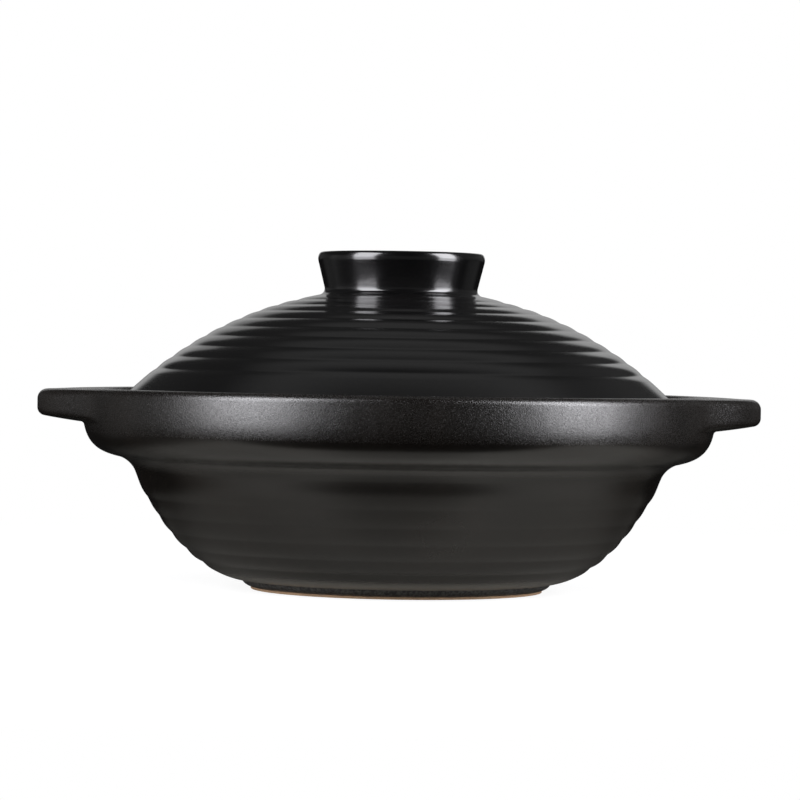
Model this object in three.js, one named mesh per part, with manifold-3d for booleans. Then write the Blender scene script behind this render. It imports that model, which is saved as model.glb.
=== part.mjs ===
// Shallow clay casserole with a ribbed dome lid. Millimetres, +Z up.
// The origin is the centre of the face that the foot stands on, and the lugs lie along X.
import * as THREE from 'three';
import { mergeVertices } from 'three/addons/utils/BufferGeometryUtils.js';
import Module from 'manifold-3d';

// Foot ring
const footHeight = 4.0;
const footBottomRadius = 63.6;
const footFlare = 2.5; // how much wider the ring is where it meets the bowl
const footWidth = 11.0; // the flat that stands on the table, with its corners
const footCorner = 0.9;

// Bowl, measured on its outside
const bowlHeight = 45.9; // from the foot to the neck under the band
const neckRadius = 112.6;
const neckAngle = 67.3; // degrees from level
const baseAngle = 3.0; // degrees from level, where the bowl leaves the foot
const baseHandle = 14.8; // how far the bowl runs on near the foot before it turns up
const neckHandle = 28.2; // how far it runs on below the neck
const wallThickness = 7.5;

// Rim band around the top of the bowl
const coveHeight = 6.1; // hollow curve from the neck to the underside of the band
const coveReach = 7.4;
const underAngle = 12.0; // degrees from level, at the start of the underside
const bandReach = 15.3; // from the cove to the widest part of the band
const bandHeight = 28.7; // from the cove to the rim
const bandTaper = 6.7; // how far the widest part lies below the rim
const underHandle = 10.5;
const sideHandle = 15.3;
const lipThickness = 7.0;
const lipCorner = 2.6;
const ledgeThickness = 10.0; // clay between the cove's level and the ledge
const ledgeCorner = 2.0;

// Throwing rings of the bowl, along its outside
const bowlRingStart = 19.0;
const bowlRingPitch = 9.1;
const bowlRingDepth = 0.35;
const bowlRingEnd = 8.0; // plain stretch left below the neck

// Lugs
const lugReach = 19.7; // beyond the band
const lugHalfWidth = 36.0;
const lugThickness = 13.6; // at the band
const lugDraft = 2.3; // how far the underside rises towards the tip
const lugEdge = 3.8; // rounded edge
const lugDrop = 0.2; // top face below the rim
const lugTipHandle = 23.0;
const lugRootHandle = 13.0;

// Lid
const lidPlay = 2.0; // all round, inside the lip
const seatGap = 0.3;
const lidEdgeHeight = 5.8;
const lidEdgeCorner = 1.5;
const lidSeatWidth = 8.0;
const domeRise = 58.3;
const lidThickness = 6.5;

// Throwing rings of the dome, along its outside
const domeRingPitch = 8.4;
const domeRingDepth = 0.5;
const domeSkirt = 31.0; // plain stretch above the edge
const domeCollar = 6.0; // plain stretch round the knob

// Knob
const knobWaistRadius = 32.4;
const knobFootFlare = 2.6; // how much wider the foot is, where it is luted on
const knobFootHeight = 2.6;
const knobFlare = 3.2; // how much wider it is at the top
const knobHeight = 18.2; // above the dome at its foot
const knobCorner = 3.0;
const knobWall = 7.0;
const knobDraft = 2.0; // how much narrower the hollow is at the bottom

// Fits and facets
const luteGap = 0.3; // slip joint between luted members
const turnSteps = 48;
const stepsPerRing = 3;
const curveSteps = 8;
const cornerSteps = 3;
const weldDistance = 1e-4; // points closer than this are one

const radians = THREE.MathUtils.degToRad;
const wasm = await Module();
wasm.setup();

function direction(degrees) {
  return new THREE.Vector2(Math.cos(radians(degrees)), Math.sin(radians(degrees)));
}

function point(radius, height) {
  return new THREE.Vector2(radius, height);
}

function bezier(start, startHandle, endHandle, end) {
  return new THREE.CubicBezierCurve(start, startHandle, endHandle, end);
}

// Points of a round corner, from one angle to another in degrees
function corner(centre, radius, from, to, steps = cornerSteps) {
  const points = [];
  for (let i = 0; i <= steps; i++) {
    const angle = from + ((to - from) * i) / steps;
    points.push(centre.clone().addScaledVector(direction(angle), radius));
  }
  return points;
}

// A groove every whole number, with a convex ring between two grooves
function ringCut(depth, turn) {
  return depth * (1 - Math.abs(Math.sin(Math.PI * turn)));
}

function evenSteps(from, to, steps) {
  return Array.from({ length: steps + 1 }, (_, i) => from + ((to - from) * i) / steps);
}

// Closed outline, counter-clockwise with radius to the right, turned about Z
function turned(outline) {
  const geometry = new THREE.LatheGeometry([...outline, outline[0]], turnSteps);
  return geometry.rotateX(Math.PI / 2);
}

function solidOf(geometry) {
  const plain = new THREE.BufferGeometry();
  plain.setAttribute('position', geometry.getAttribute('position').clone());
  plain.setIndex(geometry.getIndex());
  const merged = mergeVertices(plain, weldDistance);
  const vertProperties = new Float32Array(merged.getAttribute('position').array);
  const triVerts = new Uint32Array(merged.getIndex().array);
  return new wasm.Manifold(new wasm.Mesh({ numProp: 3, vertProperties, triVerts }));
}

function geometryOf(solid) {
  const mesh = solid.getMesh();
  const geometry = new THREE.BufferGeometry();
  geometry.setAttribute('position', new THREE.BufferAttribute(mesh.vertProperties, 3));
  geometry.setIndex(new THREE.BufferAttribute(mesh.triVerts, 1));
  geometry.computeVertexNormals();
  return geometry;
}

function part(name, geometry, color, roughness) {
  const material = new THREE.MeshStandardMaterial({ color, roughness, metalness: 0 });
  const mesh = new THREE.Mesh(geometry, material);
  mesh.name = name;
  return mesh;
}

// Levels and radii that follow from the sizes above
const footTopRadius = footBottomRadius + footFlare;
const neckLevel = footHeight + bowlHeight;
const coveLevel = neckLevel + coveHeight;
const coveRadius = neckRadius + coveReach;
const bandRadius = coveRadius + bandReach;
const rimLevel = coveLevel + bandHeight;
const bandLevel = rimLevel - bandTaper;
const ledgeLevel = coveLevel + ledgeThickness;
const lipInnerRadius = bandRadius - lipThickness;
const lidRadius = lipInnerRadius - lidPlay;
const seatLevel = ledgeLevel + seatGap;
const lidEdgeLevel = seatLevel + lidEdgeHeight;
const domeRadius = (lidRadius ** 2 + domeRise ** 2) / (2 * domeRise);
const domeCentre = lidEdgeLevel + domeRise - domeRadius;
const knobFootRadius = knobWaistRadius + knobFootFlare;

// Foot ring, flat on top where it is luted to the bowl
function footRing() {
  const inner = footBottomRadius - footWidth;
  const outer = footBottomRadius - footCorner;
  const outline = [
    ...corner(point(outer, footCorner), footCorner, -90, 0),
    point(footTopRadius, footHeight),
    point(inner, footHeight),
    ...corner(point(inner + footCorner, footCorner), footCorner, 180, 270),
  ];
  return turned(outline);
}

// Outside of the bowl from the foot to the neck, and of the band from the cove to its widest part
const bowlStart = point(footTopRadius, footHeight);
const neck = point(neckRadius, neckLevel);
const cove = point(coveRadius, coveLevel);
const widest = point(bandRadius, bandLevel);
const bowlCurve = bezier(
  bowlStart,
  bowlStart.clone().addScaledVector(direction(baseAngle), baseHandle),
  neck.clone().addScaledVector(direction(neckAngle), -neckHandle),
  neck,
);
const coveHandle = coveHeight / 2;
const coveCurve = bezier(
  neck,
  neck.clone().addScaledVector(direction(neckAngle), coveHandle),
  cove.clone().addScaledVector(direction(underAngle), -coveHandle),
  cove,
);
const bandCurve = bezier(
  cove,
  cove.clone().addScaledVector(direction(underAngle), underHandle),
  point(bandRadius, bandLevel - sideHandle),
  widest,
);

// A point beside the bowl's curve: positive goes into the wall
function besideBowl(share, inward) {
  const tangent = bowlCurve.getTangentAt(share);
  const inside = point(-tangent.y, tangent.x);
  return bowlCurve.getPointAt(share).addScaledVector(inside, inward);
}

function bowlOutside() {
  const length = bowlCurve.getLength();
  const room = length - bowlRingStart - bowlRingEnd;
  const rings = Math.max(1, Math.floor(room / bowlRingPitch));
  const ringed = bowlRingStart + rings * bowlRingPitch;
  const points = evenSteps(0, bowlRingStart, cornerSteps).map((s) => besideBowl(s / length, 0));
  points.pop();
  for (let i = 0; i <= rings * stepsPerRing; i++) {
    const turn = i / stepsPerRing;
    const along = bowlRingStart + turn * bowlRingPitch;
    points.push(besideBowl(Math.min(1, along / length), ringCut(bowlRingDepth, turn)));
  }
  const plain = evenSteps(ringed, length, cornerSteps).slice(1);
  return [...points, ...plain.map((s) => besideBowl(Math.min(1, s / length), 0))];
}

// Bowl, rim band, lip and ledge in one outline
function potBowl() {
  const slope = 1 / Math.tan(radians(neckAngle));
  const wallTop = besideBowl(1, wallThickness);
  const ledgeEdge = wallTop.x + (ledgeLevel - wallTop.y) * slope;
  const inside = evenSteps(1, 0, curveSteps).map((share) => besideBowl(share, wallThickness));
  const outline = [
    point(0, footHeight),
    ...bowlOutside(),
    ...coveCurve.getPoints(cornerSteps + 1).slice(1),
    ...bandCurve.getPoints(curveSteps).slice(1),
    ...corner(point(bandRadius - lipCorner, rimLevel - lipCorner), lipCorner, 0, 90),
    ...corner(point(lipInnerRadius + lipCorner, rimLevel - lipCorner), lipCorner, 90, 180),
    ...corner(point(lipInnerRadius - ledgeCorner, ledgeLevel + ledgeCorner), ledgeCorner, 360, 270),
    point(ledgeEdge + ledgeCorner, ledgeLevel),
    point(ledgeEdge - ledgeCorner * slope, ledgeLevel - ledgeCorner),
    ...inside,
    point(0, inside[inside.length - 1].y),
  ];
  return turned(outline);
}

// Space that the band takes up, with the slip joint, for cutting the back of a lug
function bandCutter() {
  const top = rimLevel + lugThickness;
  const side = bandCurve.getPoints(curveSteps).map((p) => point(p.x + luteGap, p.y));
  const outline = [point(0, coveLevel), ...side, point(bandRadius + luteGap, top), point(0, top)];
  return solidOf(turned(outline));
}

// One lug, at +X: a bell-shaped plan with rounded edges and a rising underside
function lug() {
  const rootRadius = bandRadius - lipThickness / 2;
  const rootX = Math.sqrt(rootRadius ** 2 - lugHalfWidth ** 2);
  const tipX = bandRadius + lugReach;
  const along = direction(90 - THREE.MathUtils.radToDeg(Math.asin(lugHalfWidth / rootRadius)));
  const handleX = rootX + along.x * lugRootHandle;
  const handleY = lugHalfWidth - along.y * lugRootHandle;
  const backX = rootX - 2 * lugEdge;
  const plan = new THREE.Shape();
  plan.moveTo(backX, -lugHalfWidth);
  plan.lineTo(rootX, -lugHalfWidth);
  plan.bezierCurveTo(handleX, -handleY, tipX, -lugTipHandle, tipX, 0);
  plan.bezierCurveTo(tipX, lugTipHandle, handleX, handleY, rootX, lugHalfWidth);
  plan.lineTo(backX, lugHalfWidth);
  const geometry = new THREE.ExtrudeGeometry(plan, {
    depth: lugThickness - 2 * lugEdge,
    curveSegments: curveSteps,
    bevelSize: lugEdge,
    bevelOffset: -lugEdge,
    bevelThickness: lugEdge,
    bevelSegments: cornerSteps,
  });
  geometry.translate(0, 0, rimLevel - lugDrop - lugThickness + lugEdge);
  const places = geometry.getAttribute('position');
  for (let i = 0; i < places.count; i++) {
    const out = Math.max(0, places.getX(i) - bandRadius) / lugReach;
    const below = (rimLevel - lugDrop - places.getZ(i)) / lugThickness;
    places.setZ(i, places.getZ(i) + lugDraft * out * below);
  }
  return geometryOf(solidOf(geometry).subtract(bandCutter()));
}

// A point of the dome, by its arc length from the crown and its depth below the surface
function onDome(along, inward = 0) {
  const angle = along / domeRadius;
  const reach = domeRadius - inward;
  return point(reach * Math.sin(angle), domeCentre + reach * Math.cos(angle));
}

function arcAt(radius) {
  return domeRadius * Math.asin(radius / domeRadius);
}

function domeOutside() {
  const edge = arcAt(lidRadius);
  const last = edge - domeSkirt;
  const room = last - arcAt(knobFootRadius) - domeCollar;
  const rings = Math.max(1, Math.floor(room / domeRingPitch));
  const first = last - rings * domeRingPitch;
  const points = evenSteps(0, arcAt(knobFootRadius), cornerSteps).map((s) => onDome(s));
  for (let i = 0; i <= rings * stepsPerRing; i++) {
    const turn = i / stepsPerRing;
    points.push(onDome(first + turn * domeRingPitch, ringCut(domeRingDepth, turn)));
  }
  const skirt = evenSteps(last, edge, cornerSteps).slice(1);
  return [...points, ...skirt.map((s) => onDome(s))];
}

// Dome with its upright edge and flat seat ring
function lidDome() {
  const seatInner = lidRadius - lidSeatWidth;
  const innerReach = domeRadius - lidThickness;
  const innerEnd = domeRadius * Math.asin(seatInner / innerReach);
  const inside = evenSteps(innerEnd, 0, curveSteps).map((s) => onDome(s, lidThickness));
  const outline = [
    ...domeOutside(),
    ...corner(point(lidRadius - lidEdgeCorner, seatLevel + lidEdgeCorner), lidEdgeCorner, 360, 270),
    point(seatInner, seatLevel),
    ...inside,
  ];
  return turned(outline.reverse());
}

// Hollow knob on the crown of the dome, its underside following the dome
function lidKnob() {
  const foot = onDome(arcAt(knobFootRadius)).y + luteGap;
  const top = foot + knobHeight;
  const topRadius = knobWaistRadius + knobFlare;
  const hollowTop = topRadius - knobWall;
  const hollowFoot = hollowTop - knobDraft;
  const underside = evenSteps(arcAt(hollowFoot), arcAt(knobFootRadius), cornerSteps).map((s) => onDome(s));
  const outline = [
    ...underside.map((p) => point(p.x, p.y + luteGap)),
    point(knobWaistRadius, foot + knobFootHeight),
    ...corner(point(topRadius - knobCorner, top - knobCorner), knobCorner, 0, 90),
    ...corner(point(hollowTop + knobCorner, top - knobCorner), knobCorner, 90, 180),
  ];
  return turned(outline);
}

const pot = new THREE.Group();
pot.add(part('pot_bowl', potBowl(), 0x2a2724, 0.45));
pot.add(part('foot_ring', footRing(), 0x8a6b4c, 0.85));
for (const [name, turn] of [['right_lug_handle', 0], ['left_lug_handle', Math.PI]]) {
  const handle = part(name, lug(), 0x27231f, 0.5);
  handle.rotation.z = turn;
  pot.add(handle);
}

const lid = new THREE.Group();
lid.add(part('lid_dome', lidDome(), 0x1b1b1b, 0.4));
lid.add(part('lid_knob', lidKnob(), 0x161617, 0.25));

const casserole = new THREE.Group();
casserole.add(pot, lid);
export default casserole;
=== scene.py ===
import math

import bmesh
import bpy
from mathutils import Euler, Matrix, Vector, noise
from mathutils.geometry import interpolate_bezier


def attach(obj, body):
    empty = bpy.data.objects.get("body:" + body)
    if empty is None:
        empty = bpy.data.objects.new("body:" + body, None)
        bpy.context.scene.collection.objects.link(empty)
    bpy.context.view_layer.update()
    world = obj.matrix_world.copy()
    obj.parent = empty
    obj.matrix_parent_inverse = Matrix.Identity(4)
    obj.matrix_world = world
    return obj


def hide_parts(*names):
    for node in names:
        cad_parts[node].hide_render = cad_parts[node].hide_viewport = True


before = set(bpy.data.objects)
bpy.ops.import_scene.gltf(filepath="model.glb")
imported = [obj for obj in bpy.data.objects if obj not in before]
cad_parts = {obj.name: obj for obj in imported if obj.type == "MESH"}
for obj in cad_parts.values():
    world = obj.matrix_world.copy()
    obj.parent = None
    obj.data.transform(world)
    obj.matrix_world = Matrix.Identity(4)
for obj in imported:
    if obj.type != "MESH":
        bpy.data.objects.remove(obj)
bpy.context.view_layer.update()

mm = 0.001  # every piece is drawn in millimetres and scaled once
mergeReach = 0.0001  # millimetres within which two points are one
sharpTurn = math.radians(50)  # edges that turn more than this are shaded as sharp


# outline helpers: points are (radius, height) in millimetres

def heading(degrees):
    return Vector((math.cos(math.radians(degrees)), math.sin(math.radians(degrees))))


def roundCorner(centre, radius, start, end, steps=8):
    turns = [start + (end - start) * i / steps for i in range(steps + 1)]
    return [Vector(centre) + heading(turn) * radius for turn in turns]


def bezierPoints(start, startHandle, endHandle, end, count):
    knots = [Vector((*p, 0)) for p in (start, startHandle, endHandle, end)]
    return [p.to_2d() for p in interpolate_bezier(*knots, count)]


def alongOutline(points):
    lengths = [0.0]
    for before, after in zip(points, points[1:]):
        lengths.append(lengths[-1] + (after - before).length)
    return lengths


def sideOf(points, i):
    step = (points[min(i + 1, len(points) - 1)] - points[max(i - 1, 0)]).normalized()
    return Vector((-step.y, step.x))  # to the left of the way along


def ringCut(turn, depth, soften=0.12):  # round ridges with narrow grooves at whole turns
    lobe = math.sin(math.pi * turn)
    return depth * (1 - math.sqrt(lobe * lobe + soften * soften))


def wobble(angle, height, amount, around=2.2, upward=0.05):
    spot = Vector((math.cos(angle) * around, math.sin(angle) * around, height * upward))
    return amount * noise.noise(spot)


def turnOutline(points, steps=192):
    shape = bmesh.new()
    verts = [shape.verts.new((p.x, 0, p.y)) for p in points]
    edges = [shape.edges.new(pair) for pair in zip(verts, verts[1:])]
    if max(points[0].x, points[-1].x) > mergeReach:  # a ring closes, a dish ends on the axis
        edges.append(shape.edges.new((verts[-1], verts[0])))
    bmesh.ops.spin(shape, geom=verts + edges, cent=(0, 0, 0), axis=(0, 0, 1),
                   angle=math.tau, steps=steps, use_merge=True)
    bmesh.ops.remove_doubles(shape, verts=shape.verts, dist=mergeReach)
    bmesh.ops.recalc_face_normals(shape, faces=shape.faces)
    return shape


def finishPiece(shape, name, body, node, material):
    bmesh.ops.scale(shape, vec=(mm, mm, mm), verts=shape.verts)
    for face in shape.faces:
        face.smooth = True
    for edge in shape.edges:
        edge.smooth = edge.calc_face_angle(0) < sharpTurn
    mesh = bpy.data.meshes.new(name)
    shape.to_mesh(mesh)
    shape.free()
    mesh.materials.append(material)
    piece = bpy.data.objects.new(name, mesh)
    bpy.context.scene.collection.objects.link(piece)
    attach(piece, body)
    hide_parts(node)
    print("made", name, len(mesh.polygons), "faces")


# shader helpers

class Wire:
    def __init__(self, finish, socket):
        self.finish = finish
        self.socket = socket

    def maths(self, operation, first, second):
        return self.finish.node("ShaderNodeMath", {"operation": operation}, {0: first, 1: second})

    def __add__(self, other):
        return self.maths("ADD", self, other)

    def __radd__(self, other):
        return self.maths("ADD", other, self)

    def __sub__(self, other):
        return self.maths("SUBTRACT", self, other)

    def __rsub__(self, other):
        return self.maths("SUBTRACT", other, self)

    def __mul__(self, other):
        return self.maths("MULTIPLY", self, other)

    def __rmul__(self, other):
        return self.maths("MULTIPLY", other, self)

    def __abs__(self):
        return self.finish.node("ShaderNodeMath", {"operation": "ABSOLUTE"}, {0: self})


class Finish:
    def __init__(self, tree):
        self.tree = tree
        tree.nodes.clear()

    def node(self, kind, settings=None, sockets=None, out=0):
        made = self.tree.nodes.new(kind)
        for key, value in (settings or {}).items():
            setattr(made, key, value)
        for key, value in (sockets or {}).items():
            if isinstance(value, Wire):
                self.tree.links.new(value.socket, made.inputs[key])
            else:
                made.inputs[key].default_value = value
        return Wire(self, made.outputs[out]) if len(made.outputs) else made

    def axes(self, spot):
        first = self.node("ShaderNodeSeparateXYZ", {}, {0: spot})
        return [Wire(self, socket) for socket in first.socket.node.outputs]

    def rise(self, value, low, high):  # 0 at low, 1 at high, also where low is the larger
        return self.node("ShaderNodeMapRange", {"interpolation_type": "SMOOTHSTEP"},
                         {0: value, 1: low, 2: high})

    def mixColour(self, mask, without, full):
        return self.node("ShaderNodeMix", {"data_type": "RGBA"}, {0: mask, 6: without, 7: full}, out=2)

    def mixShader(self, mask, without, full):
        return self.node("ShaderNodeMixShader", {}, {0: mask, 1: without, 2: full})

    def grain(self, spot, scale, detail):
        return self.node("ShaderNodeTexNoise", {}, {"Vector": spot, "Scale": scale, "Detail": detail})

    def bump(self, height, depth):
        return self.node("ShaderNodeBump", {}, {"Strength": 1.0, "Distance": depth, "Height": height})


def newFinish(name):
    material = bpy.data.materials.new(name)
    material.use_nodes = True
    return material, Finish(material.node_tree)


# glazes, with lengths in metres

glazeBody = {
    "grainScale": 2600.0,
    "grainDetail": 1.0,
    "grainFade": 0.0008,  # height over which the grain sets in
    "grainyRough": 0.03,
    "fleckTo": 0.22,
    "coatFade": 0.0012,
    "dullCoat": 0.25,  # share of the coat that is left where the glaze is dull
    "cloudScale": 28.0,
    "cloudDetail": 4.0,
    "cloudFrom": 0.38,
    "cloudTo": 0.70,
    "cloudShare": 0.7,
    "cloudRough": 0.05,
}
potGlazeLook = {
    "deep": (0.0034, 0.0023, 0.0015, 1),
    "warm": (0.0080, 0.0052, 0.0034, 1),  # where the glaze runs thin
    "fleck": (0.0150, 0.0125, 0.0105, 1),
    "rough": 0.25,
    "ior": 1.8,
    "coat": 0.75,
    "coatRough": 0.29,
    "grainDepth": 0.00013,
    "grainRough": 0.3,
    "grainCoat": 7.0,
    "grainFrom": 0.066,  # the band is grainy, the bowl below it smooth
    "coatFrom": 0.0528,  # and the bowl is duller than the band
    "paintedFootHighlight": (0.42, 0.40, 0.37, 1),  # painted highlight: a light band above the foot in place of a grazing reflection
    "paintedFootHighlightFrom": 0.0044,
    "paintedFootHighlightTo": 0.0088,
}
lidGlazeLook = {
    "deep": (0.0036, 0.0036, 0.0037, 1),
    "warm": (0.0046, 0.0044, 0.0042, 1),
    "fleck": (0.0070, 0.0068, 0.0066, 1),
    "rough": 0.17,
    "ior": 1.7,
    "coat": 0.9,
    "coatRough": 0.15,
    "grainDepth": 0.000008,
    "grainRough": 0.06,
    "grainCoat": 0.6,
    "grainFrom": 0.0,
    "coatFrom": 0.0,
}
knobGlazeLook = {
    **lidGlazeLook,
    "deep": (0.0024, 0.0024, 0.0026, 1),
    "warm": (0.0032, 0.0031, 0.0031, 1),
    "fleck": (0.0056, 0.0056, 0.0057, 1),
    "rough": 0.16,
    "coatRough": 0.14,
}


def glaze(name, look):
    material, finish = newFinish(name)
    spot = finish.node("ShaderNodeTexCoord", out="Object")
    height = finish.axes(spot)[2]
    grainFade, coatFade = glazeBody["grainFade"], glazeBody["coatFade"]
    grainy = finish.rise(height, look["grainFrom"] - grainFade, look["grainFrom"] + grainFade)
    cloud = finish.grain(spot, glazeBody["cloudScale"], glazeBody["cloudDetail"])
    cloud = finish.rise(cloud, glazeBody["cloudFrom"], glazeBody["cloudTo"])
    speck = (finish.grain(spot, glazeBody["grainScale"], glazeBody["grainDetail"]) - 0.5) * grainy
    colour = finish.mixColour(cloud * glazeBody["cloudShare"], look["deep"], look["warm"])
    colour = finish.mixColour(finish.rise(speck, 0.0, glazeBody["fleckTo"]), colour, look["fleck"])
    # painted highlight: lightens the colour in a band just above the foot, standing in for a
    # reflection
    if "paintedFootHighlight" in look:
        paintedHighlightMask = finish.rise(height, look["paintedFootHighlightTo"], look["paintedFootHighlightFrom"])
        colour = finish.mixColour(paintedHighlightMask, colour, look["paintedFootHighlight"])
    covered = finish.rise(height, look["coatFrom"] - coatFade, look["coatFrom"] + coatFade)
    coat = look["coat"] * (glazeBody["dullCoat"] + (1 - glazeBody["dullCoat"]) * covered)
    rough = look["rough"] + speck * look["grainRough"]
    rough = rough + grainy * glazeBody["grainyRough"] + (cloud - 0.5) * glazeBody["cloudRough"]
    shader = finish.node("ShaderNodeBsdfPrincipled", {}, {
        "Base Color": colour, "Roughness": rough, "Normal": finish.bump(speck, look["grainDepth"]),
        "IOR": look["ior"], "Coat Weight": coat + speck * look["grainCoat"],
        "Coat Roughness": look["coatRough"]})
    finish.node("ShaderNodeOutputMaterial", {}, {"Surface": shader})
    return material


footLook = {
    "glaze": (0.1300, 0.1270, 0.1220, 1),
    "glazeDark": (0.0480, 0.0470, 0.0460, 1),
    "clay": (0.80, 0.56, 0.36, 1),
    "clayDark": (0.60, 0.38, 0.22, 1),
    "bareHeight": 0.00095,
    "bareFade": 0.00025,
    "drift": 0.0005,  # how far the edge of the glaze wanders
    "driftScale": 240.0,
    "sandScale": 900.0,
    "sandDetail": 3.0,
    "sandDepth": 0.00006,
    "speckFrom": 0.40,
    "speckTo": 0.62,
    "rough": 0.42,
    "bareRough": 0.45,  # what bare clay adds to it
}


def footFinish(name, look):
    material, finish = newFinish(name)
    spot = finish.node("ShaderNodeTexCoord", out="Object")
    height = finish.axes(spot)[2]
    drift = finish.grain(spot, look["driftScale"], look["sandDetail"]) - 0.5
    bareTop = look["bareHeight"] + look["bareFade"]
    bare = finish.rise(height + drift * look["drift"], bareTop, look["bareHeight"])
    sand = finish.grain(spot, look["sandScale"], look["sandDetail"])
    clay = finish.mixColour(sand, look["clayDark"], look["clay"])
    specks = finish.rise(sand, look["speckFrom"], look["speckTo"])
    speckled = finish.mixColour(specks, look["glazeDark"], look["glaze"])
    shader = finish.node("ShaderNodeBsdfPrincipled", {}, {
        "Base Color": finish.mixColour(bare, speckled, clay),
        "Roughness": look["rough"] + bare * look["bareRough"],
        "Normal": finish.bump(sand, look["sandDepth"])})
    finish.node("ShaderNodeOutputMaterial", {}, {"Surface": shader})
    return material


potGlaze = glaze("pot_glaze", potGlazeLook)
lidGlaze = glaze("lid_glaze", lidGlazeLook)
knobGlaze = glaze("knob_glaze", knobGlazeLook)
footClay = footFinish("foot_clay", footLook)
print("finishes ready")


# foot ring

foot = {
    "height": 4.0,
    "standRadius": 62.4,
    "bareHeight": 1.0,  # the side rolls in to this bare edge
    "rollOut": (1.4, 0.4),  # how the side sets off from it
    "rollUp": 1.6,  # and how it comes up under the bowl
    "topRadius": 66.1,
    "topInset": 0.6,
    "innerRadius": 52.6,
    "corner": 0.25,
    "sunk": 0.4,  # how far it goes up into the bowl's base
}


def makeFoot():
    inner, stand, corner = foot["innerRadius"], foot["standRadius"], foot["corner"]
    top = foot["height"] + foot["sunk"]
    bareEdge = Vector((stand, foot["bareHeight"]))
    topEdge = Vector((foot["topRadius"], foot["height"]))
    points = roundCorner((stand - corner, corner), corner, -90, -5)
    points += bezierPoints(bareEdge, bareEdge + Vector(foot["rollOut"]),
                           topEdge - Vector((0, foot["rollUp"])), topEdge, count=14)
    points += [Vector((foot["topRadius"] - foot["topInset"], top)), Vector((inner, top))]
    points += roundCorner((inner + corner, corner), corner, 180, 270)
    finishPiece(turnOutline(points), "foot_ring_body", "pot", "foot_ring", footClay)


# bowl with its band, lip and ledge

bowl = {
    "neckRadius": 112.6,
    "neckHeight": 49.9,
    "neckAngle": 67.3,
    "baseAngle": 3.0,
    "baseHandle": 14.8,
    "neckHandle": 28.2,
    "wall": 7.5,
    "ringStart": 19.0,
    "ringPitch": 9.1,
    "ringDepth": 0.62,
    "ringFade": 0.45,  # how much shallower the top ring is than the bottom one
    "rings": 4,
    "swell": 0.45,
    "shoulder": 0.38,  # a broad low ring under the neck
    "shoulderHeight": 42.5,
    "shoulderReach": 7.0,
    "wobble": 0.10,
}
band = {
    "coveRadius": 120.0,
    "coveHeight": 56.0,
    "underAngle": 12.0,
    "radius": 135.3,
    "widest": 78.0,  # height of the widest part
    "rim": 84.7,
    "underHandle": 10.5,
    "sideHandle": 15.3,
    "lip": 7.0,
    "lipCorner": 3.3,
    "lipInnerCorner": 2.2,
    "ledge": 66.0,
    "ledgeCorner": 2.0,
    "ledgeTurn": 158,  # where the ledge's rounded edge runs into the wall
}


def bowlCurve(count):
    start = Vector((foot["topRadius"], foot["height"]))
    neck = Vector((bowl["neckRadius"], bowl["neckHeight"]))
    return bezierPoints(start, start + heading(bowl["baseAngle"]) * bowl["baseHandle"],
                        neck - heading(bowl["neckAngle"]) * bowl["neckHandle"], neck, count)


def coveCurve(count):
    neck = Vector((bowl["neckRadius"], bowl["neckHeight"]))
    cove = Vector((band["coveRadius"], band["coveHeight"]))
    reach = (band["coveHeight"] - bowl["neckHeight"]) / 2
    return bezierPoints(neck, neck + heading(bowl["neckAngle"]) * reach,
                        cove - heading(band["underAngle"]) * reach, cove, count)


def bandCurve(count):
    cove = Vector((band["coveRadius"], band["coveHeight"]))
    side = Vector((band["radius"], band["widest"]))
    return bezierPoints(cove, cove + heading(band["underAngle"]) * band["underHandle"],
                        side - Vector((0, band["sideHandle"])), side, count)


def ringedBowl(count):
    plain = bowlCurve(count)
    lengths = alongOutline(plain)
    points = []
    for i, p in enumerate(plain):
        turn = (lengths[i] - bowl["ringStart"]) / bowl["ringPitch"]
        inside = -0.5 < turn < bowl["rings"] + 0.5
        fade = 1 - bowl["ringFade"] * max(0, min(1, turn / bowl["rings"]))
        cut = ringCut(turn, bowl["ringDepth"] * fade) if inside else 0
        cut -= bowl["swell"] * math.sin(math.pi * i / (count - 1)) ** 2
        above = max(-1, min(1, (p.y - bowl["shoulderHeight"]) / bowl["shoulderReach"]))
        cut -= bowl["shoulder"] * (0.5 + 0.5 * math.cos(math.pi * above))
        points.append(p + sideOf(plain, i) * cut)
    return points


def makeBowl():
    corner, inner, fillet = band["lipCorner"], band["lipInnerCorner"], band["ledgeCorner"]
    lipInner = band["radius"] - band["lip"]
    inside = bowlCurve(count=60)
    inside = [p + sideOf(inside, i) * bowl["wall"] for i, p in enumerate(inside)]
    slope = 1 / math.tan(math.radians(bowl["neckAngle"]))
    ledgeEdge = inside[-1].x + (band["ledge"] - inside[-1].y) * slope
    midway = foot["topRadius"] / 2
    points = [Vector((0, foot["height"])), Vector((midway, foot["height"]))]
    points += ringedBowl(count=150) + coveCurve(count=16)[1:] + bandCurve(count=48)[1:]
    points += roundCorner((band["radius"] - corner, band["rim"] - corner), corner, 0, 90, steps=12)
    points += roundCorner((lipInner + inner, band["rim"] - inner), inner, 90, 180, steps=12)
    points += roundCorner((lipInner - fillet, band["ledge"] + fillet), fillet, 360, 270)
    points += roundCorner((ledgeEdge + fillet, band["ledge"] - fillet), fillet, 90, band["ledgeTurn"])
    points += list(reversed(inside))
    points += [Vector((midway, inside[0].y)), Vector((0, inside[0].y))]
    shape = turnOutline(points)
    for vert in shape.verts:
        radius = math.hypot(vert.co.x, vert.co.y)
        if radius > 1:
            push = wobble(math.atan2(vert.co.y, vert.co.x), vert.co.z, bowl["wobble"]) / radius
            vert.co.x *= 1 + push
            vert.co.y *= 1 + push
    finishPiece(shape, "bowl_body", "pot", "pot_bowl", potGlaze)


# lugs: an outline swept along the band, pulled out of it in a bell

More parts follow.
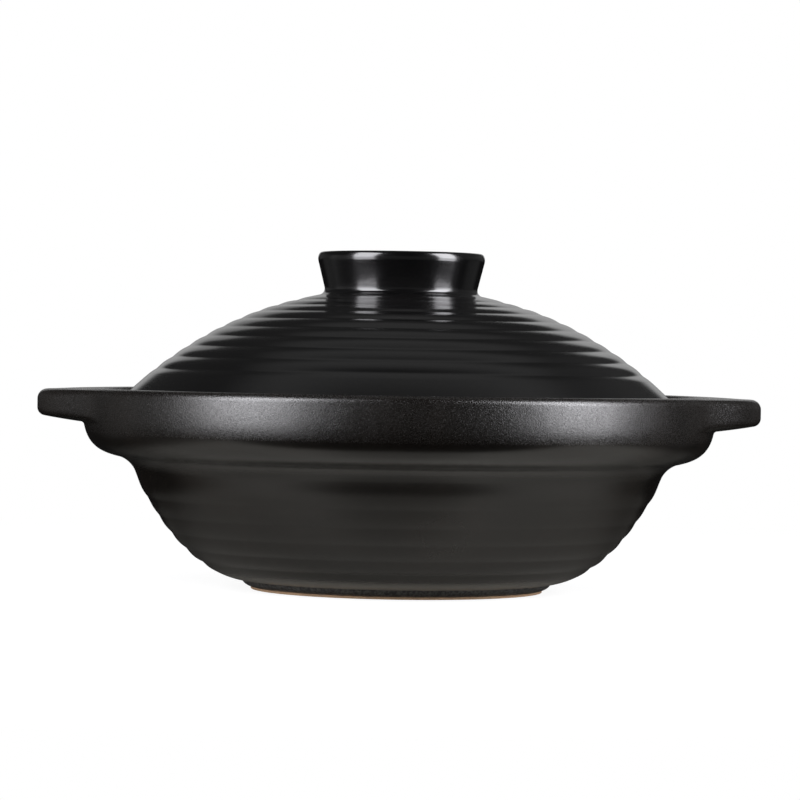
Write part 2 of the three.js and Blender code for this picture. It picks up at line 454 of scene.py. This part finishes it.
lug = {
    "reach": 19.7,
    "halfWidth": 57.0,
    "topStart": 132.1,
    "topSink": 0.01,
    "topHandle": 8.0,
    "tipHandle": (-6.0, 0.15),
    "tipDroop": 0.7,
    "topCorner": 4.3,
    "topTurn": 88,
    "underCorner": 3.5,
    "underTurn": -80,
    "underTip": 72.5,
    "underHandle": 5.0,
    "underLean": 10.0,  # degrees, at the tip and at the root
    "rootLean": 6.0,
    "underRoot": 70.6,
    "rootRun": 1.5,
    "rootEase": (0.1, 2.2),
    "fillet": 2.6,
    "buriedRoot": (-2.5, 1.0),  # points inside the band, from the ends of the outline
    "buriedTop": (-1.5, -2.5),
    "buriedFrom": 0.5,
    "sink": 0.03,  # keeps the feathered ends just under the band
    "steps": 56,
}
bandLine = bandCurve(count=200)


def bandRadiusAt(height):
    corner = band["lipCorner"]
    if height >= band["rim"] - corner:
        up = min(1, (height - band["rim"] + corner) / corner)
        return band["radius"] - corner + corner * math.sqrt(1 - up * up)
    if height >= band["widest"]:
        return band["radius"]
    for before, after in zip(bandLine, bandLine[1:]):
        if before.y <= height <= after.y:
            share = (height - before.y) / (after.y - before.y)
            return before.x + (after.x - before.x) * share
    return bandLine[0].x


def lugOutline():
    tip = band["radius"] + lug["reach"]
    topCorner, underCorner, fillet = lug["topCorner"], lug["underCorner"], lug["fillet"]
    start = Vector((lug["topStart"], band["rim"] - lug["topSink"]))
    tipTop = Vector((tip - topCorner, band["rim"] - lug["tipDroop"]))
    points = bezierPoints(start, start + Vector((lug["topHandle"], 0)),
                          tipTop + Vector(lug["tipHandle"]), tipTop, count=14)
    points += roundCorner(tipTop - Vector((0, topCorner)), topCorner, lug["topTurn"], 0, steps=10)
    points += roundCorner((tip - underCorner, lug["underTip"] + underCorner), underCorner,
                          0, lug["underTurn"], steps=10)
    under = points[-1]
    rootEnd = Vector((bandRadiusAt(lug["underRoot"] - fillet), lug["underRoot"] - fillet))
    root = rootEnd + Vector((fillet + lug["rootRun"], fillet))
    points += bezierPoints(under, under - heading(lug["underLean"]) * lug["underHandle"],
                           root + heading(lug["rootLean"]) * lug["underHandle"], root, count=12)[1:]
    points += bezierPoints(root, root - Vector((fillet, 0)),
                           rootEnd + Vector(lug["rootEase"]), rootEnd, count=9)[1:]
    return points


def makeLug(name, node, turn):
    outer = lugOutline()
    buried = [outer[-1] + Vector(lug["buriedRoot"]), outer[0] + Vector(lug["buriedTop"])]
    shape = bmesh.new()
    verts = [shape.verts.new((p.x, 0, p.y)) for p in outer + buried]
    edges = [shape.edges.new((a, b)) for a, b in zip(verts, verts[1:] + verts[:1])]
    spread = lug["halfWidth"] / band["radius"]
    bmesh.ops.rotate(shape, verts=verts, cent=(0, 0, 0), matrix=Matrix.Rotation(-spread, 3, "Z"))
    bmesh.ops.spin(shape, geom=verts + edges, cent=(0, 0, 0), axis=(0, 0, 1),
                   angle=2 * spread, steps=lug["steps"])
    bmesh.ops.holes_fill(shape, edges=[e for e in shape.edges if e.is_boundary], sides=0)
    for vert in shape.verts:
        angle = math.atan2(vert.co.y, vert.co.x)
        radius = math.hypot(vert.co.x, vert.co.y)
        pull = 0.5 + 0.5 * math.cos(math.pi * min(1, abs(angle) / spread))
        base = bandRadiusAt(vert.co.z)
        if radius > base - lug["buriedFrom"]:
            radius = base + (radius - base) * pull - lug["sink"]
        radius += wobble(angle + turn, vert.co.z, bowl["wobble"])  # the bowl's own wobble
        vert.co.x = radius * math.cos(angle)
        vert.co.y = radius * math.sin(angle)
    bmesh.ops.rotate(shape, verts=shape.verts, cent=(0, 0, 0), matrix=Matrix.Rotation(turn, 3, "Z"))
    bmesh.ops.recalc_face_normals(shape, faces=shape.faces)
    finishPiece(shape, name, "pot", node, potGlaze)


# lid

lid = {
    "play": 2.0,
    "seatGap": 0.3,
    "edgeHeight": 5.8,
    "edgeCorner": 1.5,
    "seatWidth": 8.0,
    "rise": 58.3,
    "wall": 6.5,
    "ringPitch": 8.4,
    "ringDepth": 0.40,
    "skirt": 31.0,
    "collar": 6.0,
    "crownDrop": 0.9,  # how much flatter the crown is than the frame's dome
    "crownReach": 62.0,
    "wobble": 0.09,
    "wobbleAround": 1.6,
    "wobbleOutward": 0.12,
    "outerSteps": 240,
    "innerSteps": 60,
}
knob = {
    "waistRadius": 32.4,
    "cadFoot": 35.0,  # radius at which the frame's knob meets the dome
    "fillet": 2.7,
    "lean": 14.0,
    "height": 18.0,
    "swellRadius": 4.7,  # the wall's turn towards upright, below the edge
    "swellEnd": 25.0,
    "edgeRadius": 1.5,
    "innerCorner": 2.2,
    "wall": 7.0,
    "draft": 2.0,
    "flare": 3.2,
    "luteGap": 0.3,
    "sunk": 0.6,  # how far it goes down into the dome
    "hollowStart": 2.0,  # where the hollow's wall sets off, below its corner
    "hollowLift": 1.5,  # where it turns to the dome
    "hollowHandle": (0.6, 4.0),
    "hollowFillet": 1.6,
    "hollowSink": 0.05,
}
lidRadius = band["radius"] - band["lip"] - lid["play"]
seatHeight = band["ledge"] + lid["seatGap"]
domeRadius = (lidRadius ** 2 + lid["rise"] ** 2) / (2 * lid["rise"])
domeCentre = seatHeight + lid["edgeHeight"] + lid["rise"] - domeRadius


def onDome(arc, inward=0.0):
    angle = arc / domeRadius
    drop = lid["crownDrop"] * max(0, 1 - (arc / lid["crownReach"]) ** 2)
    reach = domeRadius - inward - drop
    return Vector((reach * math.sin(angle), domeCentre + reach * math.cos(angle)))


def arcAt(radius):
    return domeRadius * math.asin(radius / domeRadius)


def makeDome():
    edge = arcAt(lidRadius)
    last = edge - lid["skirt"]
    room = last - arcAt(knob["cadFoot"]) - lid["collar"]
    rings = int(room / lid["ringPitch"])
    first = last - rings * lid["ringPitch"]
    points = []
    for i in range(lid["outerSteps"] + 1):
        arc = edge * i / lid["outerSteps"]
        turn = (arc - first) / lid["ringPitch"]
        inside = -0.5 < turn < rings + 0.5
        points.append(onDome(arc, ringCut(turn, lid["ringDepth"]) if inside else 0))
    corner = lid["edgeCorner"]
    seatInner = lidRadius - lid["seatWidth"]
    points += roundCorner((lidRadius - corner, seatHeight + corner), corner, 360, 270)
    points += roundCorner((seatInner + corner, seatHeight + corner), corner, 270, 180)
    innerEnd = domeRadius * math.asin(seatInner / (domeRadius - lid["wall"]))
    inner = [innerEnd * (1 - i / lid["innerSteps"]) for i in range(lid["innerSteps"] + 1)]
    points += [onDome(arc, lid["wall"]) for arc in inner]
    shape = turnOutline(points)
    for vert in shape.verts:
        angle = math.atan2(vert.co.y, vert.co.x)
        vert.co.z += wobble(angle, math.hypot(vert.co.x, vert.co.y), lid["wobble"],
                            lid["wobbleAround"], lid["wobbleOutward"])
    finishPiece(shape, "lid_dome_body", "lid", "lid_dome", lidGlaze)


def makeKnob():
    fillet, lean = knob["fillet"], knob["lean"]
    swell, edge, inner = knob["swellRadius"], knob["edgeRadius"], knob["innerCorner"]
    reach = knob["waistRadius"] + fillet * math.cos(math.radians(lean))
    meeting = onDome(arcAt(reach), -fillet)
    tilt = 90 - math.degrees(math.asin(reach / (domeRadius + fillet)))
    points = [meeting - heading(tilt) * (fillet + knob["sunk"])]
    points += roundCorner(meeting, -fillet, tilt, -lean, steps=14)
    waist = points[-1]
    top = onDome(arcAt(knob["cadFoot"])).y + knob["luteGap"] + knob["height"]
    shoulder = Vector((0, top - edge)) - heading(knob["swellEnd"]) * (swell - edge)
    start = shoulder + heading(-lean) * swell
    across = waist.x + (start.y - waist.y) * math.tan(math.radians(lean)) - start.x
    shoulder.x += across
    start.x += across
    points += [waist.lerp(start, i / 8) for i in range(1, 8)]
    points += roundCorner(shoulder, swell, -lean, knob["swellEnd"], steps=12)
    points += roundCorner((across, top - edge), edge, knob["swellEnd"], 90)[1:]
    hollowTop = knob["waistRadius"] + knob["flare"] - knob["wall"]
    hollowFoot = hollowTop - knob["draft"]
    points += roundCorner((hollowTop + inner, top - inner), inner, 90, 180, steps=10)
    hollowTurn = onDome(arcAt(hollowFoot)) + Vector((0, knob["hollowLift"]))
    hollowEnd = onDome(arcAt(hollowFoot - knob["hollowFillet"])) - Vector((0, knob["hollowSink"]))
    points += bezierPoints((hollowTop, top - inner - knob["hollowStart"]),
                           hollowTurn + Vector(knob["hollowHandle"]), hollowTurn, hollowEnd, count=12)
    points += [onDome(arcAt(hollowFoot)) - Vector((0, knob["sunk"]))]
    finishPiece(turnOutline(points), "lid_knob_body", "lid", "lid_knob", knobGlaze)


makeFoot()
makeBowl()
makeLug("right_lug", "right_lug_handle", 0.0)
makeLug("left_lug", "left_lug_handle", math.pi)
makeDome()
makeKnob()


# floor: white to the camera, a table of grey board to the glaze that mirrors it

white = (1, 1, 1, 1)
black = (0, 0, 0, 1)
sheet = {
    "size": 8.0,
    "colour": (0.3, 0.3, 0.3, 1),
    "glow": 0.9,
    "plain": (0.25, 0.6),  # from where to where its shading fades to plain white
}
table = {
    "colour": (0.435, 0.425, 0.383, 1),
    "front": -0.157,  # it ends here towards the camera, and dark lies beyond
    "frontFade": 0.006,
    "bow": 0.010,  # how far its front edge bows to the camera
    "bowReach": 0.09,
    "sides": (0.26, 0.21),  # where it fades out to the sides and the rear
    "rear": (0.13, 0.08),
    "patchLong": 0.075,  # a painted dim patch (painted shade) at the middle of the front edge
    "patchHalf": 0.065,
    "patchLight": 0.62,
    "rearDim": 0.70,  # painted shade: how much darker it gets to the rear, and from where to where
    "rearReach": (-0.07, 0.03),
    "sideDim": 0.8,  # and painted shade to the sides, about a line that is off the middle
    "sideReach": (0.155, 0.215),
    "sideShift": 0.02,
}


# painted shade on the table's board: a dim patch at its front edge, darker to the rear and sides
def tableLight(finish, side, back):
    ahead = (back - table["front"]) * (1 / table["patchLong"])
    beside = side * (1 / table["patchHalf"])
    patch = finish.rise(ahead * ahead + beside * beside, 0.0, 1.0)
    light = table["patchLight"] + (1 - table["patchLight"]) * patch
    light = light * (1 - table["rearDim"] * finish.rise(back, *table["rearReach"]))
    aside = abs(side - table["sideShift"])
    return light * (1 - table["sideDim"] * finish.rise(aside, *table["sideReach"]))


def makeFloor():
    shape = bmesh.new()
    bmesh.ops.create_grid(shape, x_segments=1, y_segments=1, size=sheet["size"] / 2)
    mesh = bpy.data.meshes.new("floor")
    shape.to_mesh(mesh)
    shape.free()
    floor = bpy.data.objects.new("floor", mesh)
    bpy.context.scene.collection.objects.link(floor)
    material, finish = newFinish("floor_white")
    camera = finish.node("ShaderNodeLightPath", out="Is Camera Ray")
    spot = finish.node("ShaderNodeTexCoord", out="Object")
    away = finish.node("ShaderNodeVectorMath", {"operation": "LENGTH"}, {0: spot}, out="Value")
    paper = finish.node("ShaderNodeBsdfDiffuse", {}, {"Color": sheet["colour"]})
    glow = finish.node("ShaderNodeEmission", {}, {"Color": white, "Strength": sheet["glow"]})
    near = finish.node("ShaderNodeAddShader", {}, {0: paper, 1: glow})
    far = finish.node("ShaderNodeEmission", {}, {"Color": white, "Strength": 1.0})
    shown = finish.mixShader(finish.rise(away, *sheet["plain"]), near, far)
    side, back = finish.axes(spot)[:2]
    sideways = abs(side)
    edge = back - table["bow"] * finish.rise(sideways, 0.0, table["bowReach"])
    front, fade = table["front"], table["frontFade"]
    onTable = finish.rise(edge, front - fade, front + fade)
    onTable = onTable * finish.rise(sideways, *table["sides"]) * finish.rise(back, *table["rear"])
    dark = finish.node("ShaderNodeBsdfDiffuse", {}, {"Color": black})
    lit = finish.node("ShaderNodeBsdfDiffuse", {}, {"Color": table["colour"]})
    # the board's colour carries the painted shade from tableLight
    board = finish.mixShader(tableLight(finish, side, back), dark, lit)
    mirrored = finish.mixShader(onTable, finish.node("ShaderNodeBsdfTransparent"), board)
    seen = finish.mixShader(camera, mirrored, shown)
    finish.node("ShaderNodeOutputMaterial", {}, {"Surface": seen})
    mesh.materials.append(material)


# surroundings: white to the camera, dim patches to the glaze that mirrors them

darkness = 0.006
level = ("steep", 0.12, 0.03)
card = (("back", 0.0, 0.2), ("sideways", 0.30, 0.25), ("up", 0.02, 0.10), ("up", 0.46, 0.40))
cardTop = (*card, ("up", 0.22, 0.34))
glows = {  # strength, then the axes along which a patch sets in or ends, from where to where
    "roof": (0.10, ("up", 0.72, 0.90), ("back", -0.15, 0.2)),
    "card": (0.40, *card),
    "cardTop": (0.08, *cardTop),
    "cardTopShade": (-0.22, *cardTop, ("side", 0.12, -0.12)),  # takes light off its left half
    "flank": (0.10, ("side", -0.84, -0.96), level),
    "rear": (0.020, ("up", 0.2, 0.4), ("back", 0.0, 0.3)),
    "wall": (0.03, ("side", 0.25, 0.5), ("back", 0.0, 0.3), ("up", 0.05, 0.25)),
    "facing": (0.05, ("back", -0.35, -0.65), level),
    "horizon": (0.05, ("back", 0.0, 0.3), ("sideways", 0.3, 0.5), level, ("up", -0.06, 0.02)),
    "skirting": (0.045, ("sideways", 0.55, 0.75), ("back", 0.2, 0.4),
                 ("up", -0.45, -0.30), ("up", 0.0, -0.10)),
}


def makeWorld():
    world = bpy.data.worlds.new("studio")
    world.use_nodes = True
    bpy.context.scene.world = world
    finish = Finish(world.node_tree)
    camera = finish.node("ShaderNodeLightPath", out="Is Camera Ray")
    side, back, up = finish.axes(finish.node("ShaderNodeTexCoord", out="Generated"))
    axis = {"side": side, "back": back, "up": up, "sideways": abs(side), "steep": up * up}
    light = darkness
    for strength, *ends in glows.values():
        patch = strength
        for along, start, end in ends:
            patch = patch * finish.rise(axis[along], start, end)
        light = light + patch
    glow = finish.node("ShaderNodeBackground", {}, {"Color": white, "Strength": light})
    plain = finish.node("ShaderNodeBackground", {}, {"Color": white, "Strength": 1.0})
    finish.node("ShaderNodeOutputWorld", {}, {"Surface": finish.mixShader(camera, glow, plain)})


# lamps and camera

studio = {
    "distance": 1.25,
    "aim": (0, 0, 0.09),
    "colour": (0.965, 0.96, 1.0),
    "boxes": {  # turn and lift in degrees, width and height in metres, watts
        "left_upper": (-53, 26.5, 0.70, 0.935, 12.3),
        "left_lower": (-53, -4.9, 0.70, 0.485, 3.75),
        "right_upper": (66, 26.5, 0.60, 0.935, 12.9),
        "right_lower": (66, -4.5, 0.60, 0.47, 3.65),
    },
}
shot = {
    "lens": 159.4,
    "place": (0.0003, -1.5185, 0.1010),
    "pitch": -0.739,
    "roll": 0.934,
}


def makeLamps():
    aim = Vector(studio["aim"])
    for name, (turn, lift, width, height, power) in studio["boxes"].items():
        lamp = bpy.data.lights.new(name, "AREA")
        lamp.shape = "RECTANGLE"
        lamp.size, lamp.size_y = width, height
        lamp.energy = power
        lamp.color = studio["colour"]
        toward = Euler((math.radians(-lift), 0, math.radians(turn))).to_matrix() @ Vector((0, -1, 0))
        holder = bpy.data.objects.new(name, lamp)
        holder.location = aim + toward * studio["distance"]
        holder.rotation_euler = (-toward).to_track_quat("-Z", "Y").to_euler()
        bpy.context.scene.collection.objects.link(holder)


def makeCamera():
    view = bpy.data.cameras.new("view")
    view.lens = shot["lens"]
    camera = bpy.data.objects.new("view", view)
    tilt = Euler((math.radians(90 + shot["pitch"]), 0, 0)).to_matrix().to_4x4()
    camera.matrix_world = (Matrix.Translation(shot["place"]) @ tilt
                           @ Matrix.Rotation(math.radians(shot["roll"]), 4, "Z"))
    bpy.context.scene.collection.objects.link(camera)
    bpy.context.scene.camera = camera


makeFloor()
makeWorld()
makeLamps()
makeCamera()
bpy.context.scene.view_settings.view_transform = "Standard"
print("studio ready")
